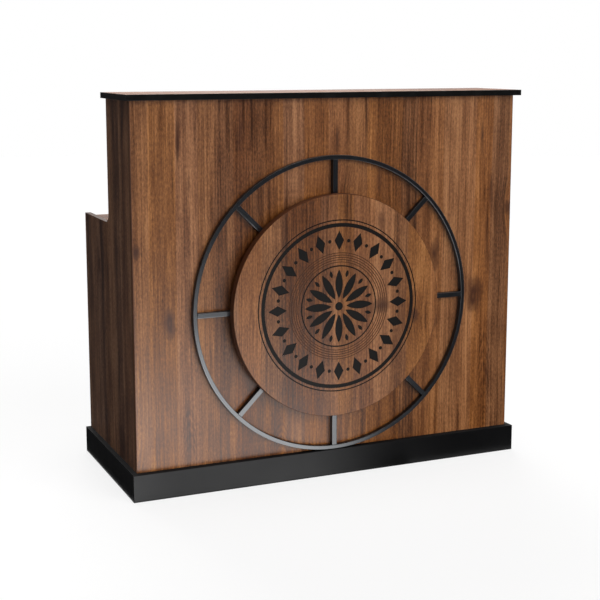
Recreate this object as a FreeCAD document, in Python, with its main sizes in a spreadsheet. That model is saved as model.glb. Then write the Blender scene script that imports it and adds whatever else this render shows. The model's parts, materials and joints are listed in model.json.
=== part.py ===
import FreeCAD, Part
import math
import os
import Sketcher
from types import SimpleNamespace

# Reception desk: a raised counter over a worktop, on a black plinth, with a ring and disc on its front.
# Millimetres, +Z up, the visitor's side faces -Y. The origin is under the middle of the whole desk.

# Driving sizes, one cell of the sheet each
SIZES = {
    # plinth
    "plinth_width": 1200.0,
    "plinth_depth": 513.0,
    "plinth_height": 76.0,
    "plinth_board": 25.0,
    "rail_board": 18.0,
    "rail_lift": 6.0,
    "rail_spread": 400.0,
    "corner_block": 36.0,
    "corner_block_height": 60.0,
    # body
    "desk_height": 1096.0,
    "board": 16.0,
    "side_ledge": 15.0,
    "front_ledge": 20.0,
    "rear_setback": 2.0,
    "step_height": 734.0,
    "step_radius": 28.0,
    "worktop_drop": 8.0,
    "counter_board": 16.0,
    "counter_depth": 249.0,
    "band": 2.0,
    "edge_radius": 1.0,
    # shelves and dividers
    "divider_offset": 153.0,
    "divider_setback": 10.0,
    "shelf_setback": 24.0,
    "shelf_gap": 0.8,
    "upper_shelf_rise": 168.0,
    "cupboard_shelf_rise": 220.0,
    "pin_radius": 2.5,
    "pin_depth": 8.0,
    "pin_reach": 8.0,
    "pin_inset": 40.0,
    "pin_pitch": 32.0,
    # cable grommet
    "grommet_radius": 30.0,
    "grommet_wall": 3.0,
    "grommet_flange": 5.0,
    "grommet_lip": 2.0,
    "grommet_inset": 169.0,
    "grommet_y": 60.0,
    # ring, spokes and disc
    "ring_radius": 423.0,
    "ring_face": 11.5,
    "ring_depth": 16.0,
    "ring_lift": 0.3,
    "ring_edge": 1.2,
    "spoke_width": 14.0,
    "spoke_depth": 16.0,
    "spoke_inner": 270.0,
    "weld_gap": 0.15,
    "disc_radius": 317.0,
    "disc_thickness": 25.0,
    "disc_edge": 1.5,
    "spacer_radius": 200.0,
    "spoke_screw_circle": 345.0,
    "spoke_screw_bite": 11.0,
    "disc_screw_circle": 150.0,
    "disc_screw_bite": 15.0,
    # screws and fittings
    "screw_radius": 2.0,
    "screw_head_radius": 4.0,
    "screw_head_height": 2.5,
    "bore_clearance": 0.05,
    "tip_clearance": 0.5,
    "cam_radius": 7.5,
    "cam_depth": 12.5,
    "cam_setback": 24.0,
    "cam_slot_width": 2.0,
    "cam_slot_depth": 3.0,
    "cam_bolt_radius": 3.0,
    "cam_bolt_bite": 11.0,
    "cam_board_inset": 96.0,
    "cam_counter_inset": 60.0,
    "cam_level_inset": 72.0,
    "cam_top_drop": 144.0,
    # drawer
    "front_recess": 28.0,
    "front_gap": 2.0,
    "drawer_opening": 146.0,
    "drawer_board": 12.0,
    "drawer_rear_gap": 31.0,
    "drawer_side_height": 110.0,
    "drawer_lift": 16.0,
    "drawer_bottom": 4.0,
    "drawer_bottom_rise": 8.0,
    "groove_depth": 6.0,
    "groove_clearance": 0.1,
    # runners
    "runner_width": 13.0,
    "runner_height": 45.0,
    "runner_end_gap": 2.0,
    "runner_steel": 1.2,
    "runner_clearance": 0.3,
    "runner_flange": 8.0,
    # lock
    "lock_drop": 30.0,
    "lock_flange_radius": 11.0,
    "lock_flange_height": 2.0,
    "lock_body_radius": 9.0,
    "lock_inner_reach": 6.0,
    "lock_barrel_radius": 6.0,
    "lock_barrel_proud": 1.0,
    "key_slot_width": 1.4,
    "key_slot_height": 7.0,
    "key_slot_depth": 4.0,
    "tongue_reach": 26.0,
    "tongue_width": 12.0,
    "tongue_steel": 2.0,
    "lock_clearance": 0.3,
    "strike_width": 30.0,
    "strike_height": 14.0,
    "strike_tab": 22.0,
    "strike_steel": 1.5,
    "strike_gap": 2.0,
    # handles
    "handle_length": 160.0,
    "handle_radius": 5.0,
    "handle_end": 1.5,
    "post_radius": 4.0,
    "post_spacing": 96.0,
    "post_length": 21.0,
    "handle_screw_bite": 9.0,
    "drawer_handle_rise": 54.0,
    "door_handle_inset": 42.0,
    "door_handle_drop": 130.0,
    # door
    "hinge_height": 60.0,
    "hinge_inset": 60.0,
    "hinge_steel": 1.5,
    "hinge_leaf": 14.0,
    "hinge_leaf_gap": 0.6,
    "knuckle_radius": 3.2,
    "knuckle_gap": 0.2,
    "hinge_pin_radius": 1.5,
    "hinge_pin_cap": 2.6,
    "hinge_pin_cap_height": 1.5,
    "hinge_screw_radius": 1.5,
    "hinge_screw_head": 3.0,
    "hinge_screw_length": 12.0,
    "hinge_screw_pitch": 22.0,
    "catch_width": 36.0,
    "catch_depth": 14.0,
    "catch_height": 12.0,
    "catch_plate": 1.2,
    "catch_gap": 0.3,
    "catch_inset": 30.0,
}

# Counts, which are not lengths
SPOKES = 8
DISC_SCREWS = 4
PIN_HOLES = 3
HINGE_SCREWS = 2

# Two places closer than this are the same place
SAME_PLACE = 1e-4


class Size:
    """A length with its number and the formula on the sheet's cells that gives it."""

    def __init__(self, number, text):
        self.number = number
        self.text = text

    def __add__(self, other):
        other = as_size(other)
        return Size(self.number + other.number, f"({self.text} + {other.text})")

    def __sub__(self, other):
        other = as_size(other)
        return Size(self.number - other.number, f"({self.text} - {other.text})")

    def __mul__(self, factor):
        return Size(self.number * factor, f"({self.text} * ({factor:.9f}))")

    def __truediv__(self, factor):
        return self * (1.0 / factor)

    def __neg__(self):
        return self * -1.0


def as_size(value):
    """Give a plain number the same form as a size from the sheet."""
    if isinstance(value, Size):
        return value
    return Size(float(value), f"({value:.9f})")


doc = FreeCAD.newDocument("reception_desk")
sheet = doc.addObject("Spreadsheet::Sheet", "Sizes")
for row, (alias, number) in enumerate(SIZES.items(), start=1):
    sheet.set(f"A{row}", alias)
    sheet.set(f"B{row}", str(number))
    sheet.setAlias(f"B{row}", alias)
doc.recompute()
s = SimpleNamespace(**{alias: Size(number, f"Sizes.{alias}") for alias, number in SIZES.items()})

# Directions for rods and screws: the unit step and the turn that brings +Z there
X_AXIS = FreeCAD.Vector(1, 0, 0)
Y_AXIS = FreeCAD.Vector(0, 1, 0)
Z_AXIS = FreeCAD.Vector(0, 0, 1)
TURNS = {
    "+x": FreeCAD.Rotation(Y_AXIS, 90),
    "-x": FreeCAD.Rotation(Y_AXIS, -90),
    "+y": FreeCAD.Rotation(X_AXIS, -90),
    "-y": FreeCAD.Rotation(X_AXIS, 90),
    "+z": FreeCAD.Rotation(),
    "-z": FreeCAD.Rotation(X_AXIS, 180),
}

blanks = {}
bores = {}


def bind(item, prop, size):
    """Bind one property to its formula."""
    item.setExpression(prop, as_size(size).text)


def place(item, x, y, z, turn=FreeCAD.Rotation()):
    """Put an object at a point worked out from the sheet."""
    item.Placement = FreeCAD.Placement(FreeCAD.Vector(), turn)
    for letter, size in zip("xyz", (x, y, z)):
        bind(item, f"Placement.Base.{letter}", size)


def node(label, item):
    """Register the finished blank of a sub-part; its bores are cut at the end."""
    blanks[label] = item
    bores.setdefault(label, [])
    return item


def bore(labels, tool):
    """Let a tool cut the named sub-parts."""
    for label in labels:
        bores.setdefault(label, []).append(tool)


def column_of(direction):
    """Find which of a point's three values lies along a direction."""
    return "xyz".index(direction[1])


def step_along(point, direction, distance):
    """Move a point along one of the six directions."""
    moved = list(point)
    column = column_of(direction)
    signed = as_size(distance) if direction[0] == "+" else -as_size(distance)
    moved[column] = as_size(moved[column]) + signed
    return tuple(moved)


def block(name, x, y, z):
    """Make a box between pairs of limits."""
    item = doc.addObject("Part::Box", name)
    for prop, (low, high) in zip(("Length", "Width", "Height"), (x, y, z)):
        bind(item, prop, as_size(high) - low)
    place(item, x[0], y[0], z[0])
    return item


def rod(name, start, direction, radius, length):
    """Make a round rod from a point along a direction."""
    item = doc.addObject("Part::Cylinder", name)
    bind(item, "Radius", radius)
    bind(item, "Height", length)
    place(item, *start, TURNS[direction])
    return item


def taper(name, start, direction, first_radius, last_radius, length):
    """Make a round taper from a point along a direction."""
    item = doc.addObject("Part::Cone", name)
    bind(item, "Radius1", first_radius)
    bind(item, "Radius2", last_radius)
    bind(item, "Height", length)
    place(item, *start, TURNS[direction])
    return item


def fuse(name, pieces):
    """Join overlapping or touching pieces into one solid."""
    item = doc.addObject("Part::MultiFuse", name)
    item.Shapes = pieces
    item.Refine = True
    return item


def group(name, pieces):
    """Keep separate solids together in one sub-part."""
    item = doc.addObject("Part::Compound", name)
    item.Links = pieces
    return item


def cut(name, base, tools):
    """Cut tools from a base."""
    item = doc.addObject("Part::Cut", name)
    item.Base = base
    item.Tool = tools[0] if len(tools) == 1 else group(name + "_tools", tools)
    return item


def board(label, x, y, z):
    """Make a plain board."""
    return node(label, block(label + "_blank", x, y, z))


def origin_plane(body, role):
    """Find one of a body's own origin planes."""
    return next(item for item in body.Origin.OriginFeatures if item.Role == role)


def sketch_on(body, role, name):
    """Start a sketch on one of a body's origin planes."""
    sketch = body.newObject("Sketcher::SketchObject", name)
    sketch.AttachmentSupport = [(origin_plane(body, role), "")]
    sketch.MapMode = "FlatFace"
    return sketch


def fix_point(sketch, line, end, u, v):
    """Fix a sketch point at formulas from the sketch's origin."""
    for kind, axis, size in (("DistanceX", -2, as_size(u)), ("DistanceY", -1, as_size(v))):
        if size.number == 0:
            sketch.addConstraint(Sketcher.Constraint("PointOnObject", line, end, axis))
        else:
            index = sketch.addConstraint(Sketcher.Constraint(kind, -1, 1, line, end, size.number))
            sketch.setExpression(f"Constraints[{index}]", size.text)


def draw_outline(sketch, points):
    """Draw a closed outline of straight lines through fixed corners."""
    corners = [FreeCAD.Vector(as_size(u).number, as_size(v).number, 0) for u, v in points]
    count = len(corners)
    first = sketch.GeometryCount
    for index, corner in enumerate(corners):
        sketch.addGeometry(Part.LineSegment(corner, corners[(index + 1) % count]), False)
    for index, (u, v) in enumerate(points):
        after = first + (index + 1) % count
        sketch.addConstraint(Sketcher.Constraint("Coincident", first + index, 2, after, 1))
        fix_point(sketch, first + index, 1, u, v)


def draw_circle(sketch, radius):
    """Draw a circle about the sketch's origin."""
    circle = Part.Circle(FreeCAD.Vector(), Z_AXIS, radius.number)
    line = sketch.addGeometry(circle, False)
    sketch.addConstraint(Sketcher.Constraint("Coincident", line, 3, -1, 1))
    index = sketch.addConstraint(Sketcher.Constraint("Radius", line, radius.number))
    sketch.setExpression(f"Constraints[{index}]", radius.text)


def pad(body, sketch, length):
    """Raise a sketch into a solid."""
    feature = body.newObject("PartDesign::Pad", body.Name + "_pad")
    feature.Profile = sketch
    bind(feature, "Length", length)
    sketch.Visibility = False
    doc.recompute()
    return feature


def edges_on(shape, planes):
    """Name the edges that lie in all the given outermost planes, such as -y."""
    box = shape.BoundBox
    limits = {
        "-x": box.XMin, "+x": box.XMax, "-y": box.YMin, "+y": box.YMax, "-z": box.ZMin, "+z": box.ZMax,
    }
    names = []
    for index, edge in enumerate(shape.Edges, start=1):
        box = edge.BoundBox
        spans = {"x": (box.XMin, box.XMax), "y": (box.YMin, box.YMax), "z": (box.ZMin, box.ZMax)}
        if all(abs(end - limits[plane]) < SAME_PLACE for plane in planes for end in spans[plane[1]]):
            names.append(f"Edge{index}")
    return names


def soften(body, feature, radius, names):
    """Round the named edges of a body."""
    fillet = body.newObject("PartDesign::Fillet", body.Name + "_fillet")
    fillet.Base = (feature, names)
    bind(fillet, "Radius", radius)
    body.Tip = fillet
    doc.recompute()
    return fillet


def extrusion(label, role, outlines, depth, at):
    """Make a body by raising outlines from an origin plane."""
    body = doc.addObject("PartDesign::Body", label + "_body")
    body.AllowCompound = True
    sketch = sketch_on(body, role, label + "_outline")
    for outline in outlines:
        draw_outline(sketch, outline)
    feature = pad(body, sketch, depth)
    place(body, *at)
    return body, feature


def rectangle(width, height):
    """Give the corners of a rectangle from the sketch's origin."""
    return [(0, 0), (width, 0), (width, height), (0, height)]


def soft_strip(label, x, y, z, planes):
    """Make a board or strip whose edges in the given outer planes are rounded."""
    outline = rectangle(as_size(x[1]) - x[0], as_size(z[1]) - z[0])
    body, feature = extrusion(label, "XZ_Plane", [outline], as_size(y[1]) - y[0], (x[0], y[1], z[0]))
    soften(body, feature, s.edge_radius, edges_on(feature.Shape, planes))
    return body


def soft_board(label, x, y, z, planes):
    """Make a sub-part of one board with rounded outer edges."""
    return node(label, soft_strip(label, x, y, z, planes))


def screw(name, seat, direction, length, boards):
    """Make a pan-head screw with its head on a seat, and bore the boards that it goes into."""
    head = rod(name + "_head", step_along(seat, direction, -s.screw_head_height), direction,
               s.screw_head_radius, s.screw_head_height)
    shank = rod(name + "_shank", seat, direction, s.screw_radius, length)
    hole = rod(name + "_hole", seat, direction, s.screw_radius + s.bore_clearance, length + s.tip_clearance)
    bore(boards, hole)
    return fuse(name, [head, shank])


# Places that several sub-parts share
half_width = s.plinth_width / 2
disc_overhang = s.spoke_depth + s.disc_thickness - s.front_ledge
plinth_front = -(s.plinth_depth - disc_overhang) / 2
plinth_rear = plinth_front + s.plinth_depth
plinth_inside_x = half_width - s.plinth_board
plinth_inside_front = plinth_front + s.plinth_board
plinth_inside_rear = plinth_rear - s.plinth_board
panel_face = plinth_front + s.front_ledge
panel_back = panel_face + s.board
body_rear = plinth_rear - s.rear_setback
step_rear = plinth_front + s.counter_depth
side_out = half_width - s.side_ledge
side_in = side_out - s.board
body_top = s.desk_height - s.counter_board
work_top = s.step_height - s.worktop_drop
work_under = work_top - s.board
floor_top = s.plinth_height + s.board
ring_z = s.plinth_height + s.ring_lift + s.ring_radius
divider_right = -s.divider_offset
pedestal_left = -side_in
pedestal_right = divider_right - s.board
pedestal_middle = (pedestal_left + pedestal_right) / 2
front_out = body_rear - s.front_recess
front_in = front_out - s.board
deck_top = work_under - s.drawer_opening
deck_under = deck_top - s.board
upper_rear = step_rear - s.divider_setback
upper_shelf_under = work_top + s.upper_shelf_rise
cupboard_shelf_under = floor_top + s.cupboard_shelf_rise
drawer_left = pedestal_left + s.runner_width
drawer_right = pedestal_right - s.runner_width
drawer_low = deck_top + s.drawer_lift
drawer_high = drawer_low + s.drawer_side_height
drawer_far = panel_back + s.drawer_rear_gap
runner_length = front_in - drawer_far - s.runner_end_gap
hinge_gap = s.hinge_steel * 2 + s.hinge_leaf_gap
door_left = pedestal_left + hinge_gap
door_right = pedestal_right - s.front_gap
door_low = floor_top + s.front_gap
door_high = deck_under - s.front_gap
hinge_x = pedestal_left + s.knuckle_radius + s.knuckle_gap
hinge_y = front_out + s.knuckle_radius + s.knuckle_gap


def make_plinth():
    """Frame of black boards under the body, with cross rails and corner blocks."""
    height = (0, s.plinth_height)
    soft_board("plinth_front", (-half_width, half_width), (plinth_front, plinth_inside_front), height, ["-y"])
    soft_board("plinth_rear", (-half_width, half_width), (plinth_inside_rear, plinth_rear), height, ["+y"])
    inside = (plinth_inside_front, plinth_inside_rear)
    soft_board("plinth_left", (-half_width, -plinth_inside_x), inside, height, ["-x"])
    soft_board("plinth_right", (plinth_inside_x, half_width), inside, height, ["+x"])
    for label, middle in (("plinth_rail_left", -s.rail_spread / 2), ("plinth_rail_right", s.rail_spread / 2)):
        width = (middle - s.rail_board / 2, middle + s.rail_board / 2)
        board(label, width, inside, (s.rail_lift, s.plinth_height))
    blocks = []
    bottom = s.plinth_height - s.corner_block_height
    for end, x in (("left", -plinth_inside_x), ("right", plinth_inside_x - s.corner_block)):
        for side, y in (("front", plinth_inside_front), ("rear", plinth_inside_rear - s.corner_block)):
            width = (x, x + s.corner_block)
            depth = (y, y + s.corner_block)
            blocks.append(block(f"corner_block_{end}_{side}", width, depth, (bottom, s.plinth_height)))
    node("plinth_corner_blocks", group("corner_block_group", blocks))


def make_side(label, left):
    """L-shaped side panel: high under the counter, low beside the worktop, round in the corner."""
    outline = [
        (panel_back, s.plinth_height),
        (body_rear, s.plinth_height),
        (body_rear, s.step_height),
        (step_rear, s.step_height),
        (step_rear, body_top),
        (panel_back, body_top),
    ]
    body, feature = extrusion(label, "YZ_Plane", [outline], s.board, (left, 0, 0))
    corner = []
    for index, edge in enumerate(feature.Shape.Edges, start=1):
        ends = [vertex.Point for vertex in edge.Vertexes]
        gaps = [abs(p.y - step_rear.number) + abs(p.z - s.step_height.number) for p in ends]
        if max(gaps) < SAME_PLACE:
            corner.append(f"Edge{index}")
    soften(body, feature, s.step_radius, corner)
    node(label, body)


def make_carcass():
    """Boards of the body under and behind the counter."""
    make_side("side_left", -side_out)
    make_side("side_right", side_in)
    inside = (-side_in, side_in)
    board("bottom_panel", inside, (panel_back, body_rear), (s.plinth_height, floor_top))
    panel_edge = side_out - s.band
    depth = (panel_face, panel_back)
    height = (s.plinth_height, body_top)
    board("front_panel", (-panel_edge, panel_edge), depth, height)
    bands = [
        soft_strip("front_band_left", (-side_out, -panel_edge), depth, height, ["-x", "-y"]),
        soft_strip("front_band_right", (panel_edge, side_out), depth, height, ["+x", "-y"]),
    ]
    node("front_bands", group("front_band_group", bands))
    board("worktop", inside, (panel_back, body_rear - s.band), (work_under, work_top))
    soft_board("worktop_band", inside, (body_rear - s.band, body_rear), (work_under, work_top), ["+y", "+z"])
    divider = (pedestal_right, divider_right)
    board("pedestal_divider", divider, (panel_back, body_rear), (floor_top, work_under))
    board("drawer_deck", (pedestal_left, pedestal_right), (panel_back, front_out), (deck_under, deck_top))
    board("upper_divider", divider, (panel_back, upper_rear), (work_top, body_top))


def make_counter():
    """Counter top with black bands round its edge."""
    height = (body_top, s.desk_height)
    ends = half_width - s.band
    depth = (plinth_front + s.band, step_rear - s.band)
    board("counter_top", (-ends, ends), depth, height)
    full = (-half_width, half_width)
    soft_board("counter_band_front", full, (plinth_front, depth[0]), height, ["-y"])
    soft_board("counter_band_rear", full, (depth[1], step_rear), height, ["+y"])
    bands = [
        soft_strip("counter_band_left", (-half_width, -ends), depth, height, ["-x"]),
        soft_strip("counter_band_right", (ends, half_width), depth, height, ["+x"]),
    ]
    node("counter_end_bands", group("counter_end_band_group", bands))


def shelf_pin_column(name, wall_x, direction, y, under, label):
    """One pin under a shelf, in the middle of a short column of holes in a board."""
    pin_z = under - s.pin_radius
    start = (wall_x, y, pin_z)
    inner = step_along(start, direction, -s.pin_depth)
    pin = rod(name, inner, direction, s.pin_radius, s.pin_depth + s.pin_reach)
    for index in range(PIN_HOLES):
        rise = s.pin_pitch * (index - PIN_HOLES // 2)
        mouth = (wall_x, y, pin_z + rise)
        back = step_along(mouth, direction, -(s.pin_depth + s.tip_clearance))
        depth = s.pin_depth + s.tip_clearance
        bore([label], rod(f"{name}_hole_{index}", back, direction, s.pin_radius + s.bore_clearance, depth))
    return pin


def make_shelves():
    """Adjustable shelves on pins: one under the counter and one in the cupboard."""
    pins = []
    shelves = (
        ("upper_shelf", divider_right, side_in, upper_rear - s.shelf_setback, upper_shelf_under,
         "upper_divider", "side_right"),
        ("cupboard_shelf", pedestal_left, pedestal_right, front_in - s.shelf_setback, cupboard_shelf_under,
         "side_left", "pedestal_divider"),
    )
    for label, left, right, rear, under, left_board, right_board in shelves:
        board(label, (left + s.shelf_gap, right - s.shelf_gap), (panel_back + s.shelf_gap, rear),
              (under, under + s.board))
        for place_name, y in (("front", panel_back + s.pin_inset), ("rear", rear - s.pin_inset)):
            name = f"{label}_pin_{place_name}"
            pins.append(shelf_pin_column(name + "_left", left, "+x", y, under, left_board))
            pins.append(shelf_pin_column(name + "_right", right, "-x", y, under, right_board))
    node("shelf_pins", group("shelf_pin_group", pins))


def make_grommet():
    """Plastic liner of the cable hole in the worktop."""
    x = side_in - s.grommet_inset
    y = panel_back + s.grommet_y
    tube_radius = s.grommet_radius - s.bore_clearance
    tube = rod("grommet_tube", (x, y, work_under), "+z", tube_radius, s.board)
    lip = rod("grommet_lip_disc", (x, y, work_top), "+z", s.grommet_radius + s.grommet_flange,
              s.grommet_lip)
    through = rod("grommet_bore", (x, y, work_under), "+z", s.grommet_radius - s.grommet_wall,
                  s.board + s.grommet_lip)
    node("cable_grommet", cut("grommet_ring", fuse("grommet_solid", [tube, lip]), [through]))
    bore(["worktop"], rod("grommet_hole", (x, y, work_under), "+z", s.grommet_radius, s.board))


def spoke_direction(index):
    """Cosine and sine of a spoke's angle."""
    angle = 2 * math.pi * index / SPOKES
    return math.cos(angle), math.sin(angle)


def spoke_outline(index):
    """Corners of one spoke, from behind the disc to the ring."""
    cosine, sine = spoke_direction(index)
    outer = s.ring_radius - s.ring_face - s.weld_gap
    side = s.spoke_width / 2
    corners = []
    for along, across in ((s.spoke_inner, -side), (outer, -side), (outer, side), (s.spoke_inner, side)):
        corners.append((along * cosine - across * sine, along * sine + across * cosine))
    return corners


def make_emblem():
    """Steel ring with spokes, standing on the plinth's ledge, and the wooden disc on the spokes."""
    body = doc.addObject("PartDesign::Body", "steel_ring_body")
    sketch = sketch_on(body, "XZ_Plane", "steel_ring_outline")
    draw_circle(sketch, s.ring_radius)
    draw_circle(sketch, s.ring_radius - s.ring_face)
    feature = pad(body, sketch, s.ring_depth)
    soften(body, feature, s.ring_edge, edges_on(feature.Shape, ["-y"]))
    place(body, 0, panel_face, ring_z)
    node("steel_ring", body)

    outlines = [spoke_outline(index) for index in range(SPOKES)]
    spokes, feature = extrusion("ring_spokes", "XZ_Plane", outlines, s.spoke_depth, (0, panel_face, ring_z))
    soften(spokes, feature, s.ring_edge, edges_on(feature.Shape, ["-y"]))
    node("ring_spokes", spokes)

    body = doc.addObject("PartDesign::Body", "emblem_disc_body")
    sketch = sketch_on(body, "XZ_Plane", "emblem_disc_outline")
    draw_circle(sketch, s.disc_radius)
    feature = pad(body, sketch, s.disc_thickness)
    soften(body, feature, s.disc_edge, edges_on(feature.Shape, ["-y"]))
    place(body, 0, panel_face - s.spoke_depth, ring_z)
    node("emblem_disc", body)
    spacer = rod("disc_spacer_blank", (0, panel_face, ring_z), "-y", s.spacer_radius, s.spoke_depth)
    node("disc_spacer", spacer)

    screws = []
    for index in range(SPOKES):
        cosine, sine = spoke_direction(index)
        seat = (s.spoke_screw_circle * cosine, panel_back, ring_z + s.spoke_screw_circle * sine)
        screws.append(screw(f"spoke_screw_{index}", seat, "-y", s.board + s.spoke_screw_bite,
                            ["front_panel", "ring_spokes"]))
    node("spoke_screws", group("spoke_screw_group", screws))
    screws = []
    for index in range(DISC_SCREWS):
        angle = 2 * math.pi * (index + 0.5) / DISC_SCREWS
        across = s.disc_screw_circle * math.cos(angle)
        seat = (across, panel_back, ring_z + s.disc_screw_circle * math.sin(angle))
        screws.append(screw(f"disc_screw_{index}", seat, "-y", s.board + s.spoke_depth + s.disc_screw_bite,
                            ["front_panel", "disc_spacer", "emblem_disc"]))
    node("disc_screws", group("disc_screw_group", screws))


def cam_joint(name, centre, into, towards, home, mate):
    """A cam lock let into a board's face and the bolt that it draws out of the mating board."""
    middle = step_along(centre, into, s.board / 2)
    cam = rod(name + "_cam", centre, into, s.cam_radius, s.cam_depth)
    bore([home], rod(name + "_cam_hole", centre, into, s.cam_radius + s.bore_clearance,
                     s.cam_depth + s.tip_clearance))
    start = step_along(middle, towards, s.cam_radius + s.bore_clearance)
    length = s.cam_setback - s.cam_radius - s.bore_clearance + s.cam_bolt_bite
    bolt = rod(name + "_bolt", start, towards, s.cam_bolt_radius, length)
    bore([home, mate], rod(name + "_bolt_hole", middle, towards, s.cam_bolt_radius + s.bore_clearance,
                           s.cam_setback + s.cam_bolt_bite + s.tip_clearance))
    limits = [(value - s.cam_radius, as_size(value) + s.cam_radius) for value in map(as_size, centre)]
    along = column_of(towards)
    limits[along] = tuple(as_size(centre[along]) + s.cam_slot_width * share for share in (-0.5, 0.5))
    inward = column_of(into)
    face = as_size(centre[inward])
    deep = as_size(step_along(centre, into, s.cam_slot_depth)[inward])
    limits[inward] = (face, deep) if into[0] == "+" else (deep, face)
    slot = block(name + "_slot", *limits)
    return cut(name + "_lock", cam, [slot]), bolt


def make_cam_joints():
    """Cam locks and bolts that join the sides to the front, counter, worktop and bottom panel."""
    joints = []
    front_y = panel_back + s.cam_setback
    board_ys = (("front", panel_back + s.cam_board_inset), ("rear", body_rear - s.cam_board_inset))
    counter_ys = (("front", panel_back + s.cam_counter_inset), ("rear", step_rear - s.cam_counter_inset))
    heights = (("low", floor_top + s.cam_level_inset), ("middle", work_under - s.cam_level_inset),
               ("high", body_top - s.cam_top_drop))
    for end, sign, into, out in (("left", -1, "-x", "-x"), ("right", 1, "+x", "+x")):
        side = f"side_{end}"
        face = side_in * sign
        inset = (side_in - s.cam_setback) * sign
        for level, z in heights:
            joints.append(cam_joint(f"cam_{end}_front_{level}", (face, front_y, z), into, "-y",
                                    side, "front_panel"))
        for row_name, y in counter_ys:
            centre = (face, y, body_top - s.cam_setback)
            joints.append(cam_joint(f"cam_{end}_counter_{row_name}", centre, into, "+z", side, "counter_top"))
        for row_name, y in board_ys:
            joints.append(cam_joint(f"cam_{end}_worktop_{row_name}", (inset, y, work_under), "+z", out,
                                    "worktop", side))
            joints.append(cam_joint(f"cam_{end}_bottom_{row_name}", (inset, y, s.plinth_height), "+z", out,
                                    "bottom_panel", side))
    node("cam_locks", group("cam_lock_group", [cam for cam, bolt in joints]))
    node("cam_bolts", group("cam_bolt_group", [bolt for cam, bolt in joints]))


def channel(web, flange_end, half_height):
    """Outline of a runner member in X and Z: a web and two flanges that end on the same side."""
    wall = s.runner_steel if flange_end.number > web.number else -s.runner_steel
    inner = half_height - s.runner_steel
    return [
        (web, -half_height), (flange_end, -half_height), (flange_end, -inner), (web + wall, -inner),
        (web + wall, inner), (flange_end, inner), (flange_end, half_height), (web, half_height),
    ]


def make_runners():
    """Telescopic runners: fixed, middle and moving members nested in each other."""
    step = s.runner_steel + s.runner_clearance
    outer = s.runner_height / 2
    middle_z = drawer_low + s.drawer_side_height / 2
    members = (
        ("fixed", as_size(0), s.runner_flange, outer),
        ("middle", step, s.runner_width - step - s.runner_clearance, outer - step),
        ("moving", s.runner_width, step * 2 + s.runner_steel, outer - step * 2),
    )
    for end, wall, sign in (("left", pedestal_left, 1), ("right", pedestal_right, -1)):
        for name, web, flange_end, half_height in members:
            outline = channel(web, flange_end, half_height)
            outline = [(as_size(u) * sign, v) for u, v in outline]
            label = f"runner_{end}_{name}"
            at = (wall, front_in, middle_z)
            body, feature = extrusion(label, "XZ_Plane", [outline], runner_length, at)
            node(label, body)


def make_handle(label, centre, along, inner_face, front):
    """Bar handle on two posts, with the screws that come through the front from inside."""
    body = doc.addObject("PartDesign::Body", label + "_body")
    role = {"x": "YZ_Plane", "z": "XY_Plane"}[along]
    sketch = sketch_on(body, role, label + "_section")
    draw_circle(sketch, s.handle_radius)
    feature = pad(body, sketch, s.handle_length)
    ends = edges_on(feature.Shape, ["-" + along]) + edges_on(feature.Shape, ["+" + along])
    soften(body, feature, s.handle_end, ends)
    start = step_along(centre, "-" + along, s.handle_length / 2)
    place(body, start[0], front_out + s.post_length, start[2])
    pieces = [body]
    screws = []
    for index, share in enumerate((-0.5, 0.5)):
        foot = step_along(centre, "+" + along, s.post_spacing * share)
        pieces.append(rod(f"{label}_post_{index}", foot, "+y", s.post_radius, s.post_length))
        seat = (foot[0], inner_face, foot[2])
        length = s.board + s.handle_screw_bite
        screws.append(screw(f"{label}_screw_{index}", seat, "+y", length, [front, label]))
    node(label, fuse(label + "_joined", pieces))
    node(label + "_screws", group(label + "_screw_group", screws))


def make_drawer():
    """Drawer box with its front, bottom let into grooves, and handle."""
    board("drawer_front", (pedestal_left + s.front_gap, pedestal_right - s.front_gap), (front_in, front_out),
          (deck_top + s.front_gap, work_under - s.front_gap))
    height = (drawer_low, drawer_high)
    inner = (drawer_left + s.drawer_board, drawer_right - s.drawer_board)
    board("drawer_side_left", (drawer_left, inner[0]), (drawer_far, front_in), height)
    board("drawer_side_right", (inner[1], drawer_right), (drawer_far, front_in), height)
    bottom_low = drawer_low + s.drawer_bottom_rise
    bottom_high = bottom_low + s.drawer_bottom
    board("drawer_back", inner, (drawer_far, drawer_far + s.drawer_board), (bottom_high, drawer_high))
    width = (inner[0] - s.groove_depth, inner[1] + s.groove_depth)
    depth = (drawer_far, front_in + s.groove_depth)
    board("drawer_bottom", width, depth, (bottom_low, bottom_high))
    spare = s.groove_clearance
    groove = block("drawer_groove", (width[0] - spare, width[1] + spare),
                   (depth[0] - spare, depth[1] + spare), (bottom_low - spare, bottom_high))
    bore(["drawer_side_left", "drawer_side_right", "drawer_front"], groove)
    make_handle("drawer_handle", (pedestal_middle, front_out, deck_top + s.drawer_handle_rise), "x", front_in,
                "drawer_front")


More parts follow.
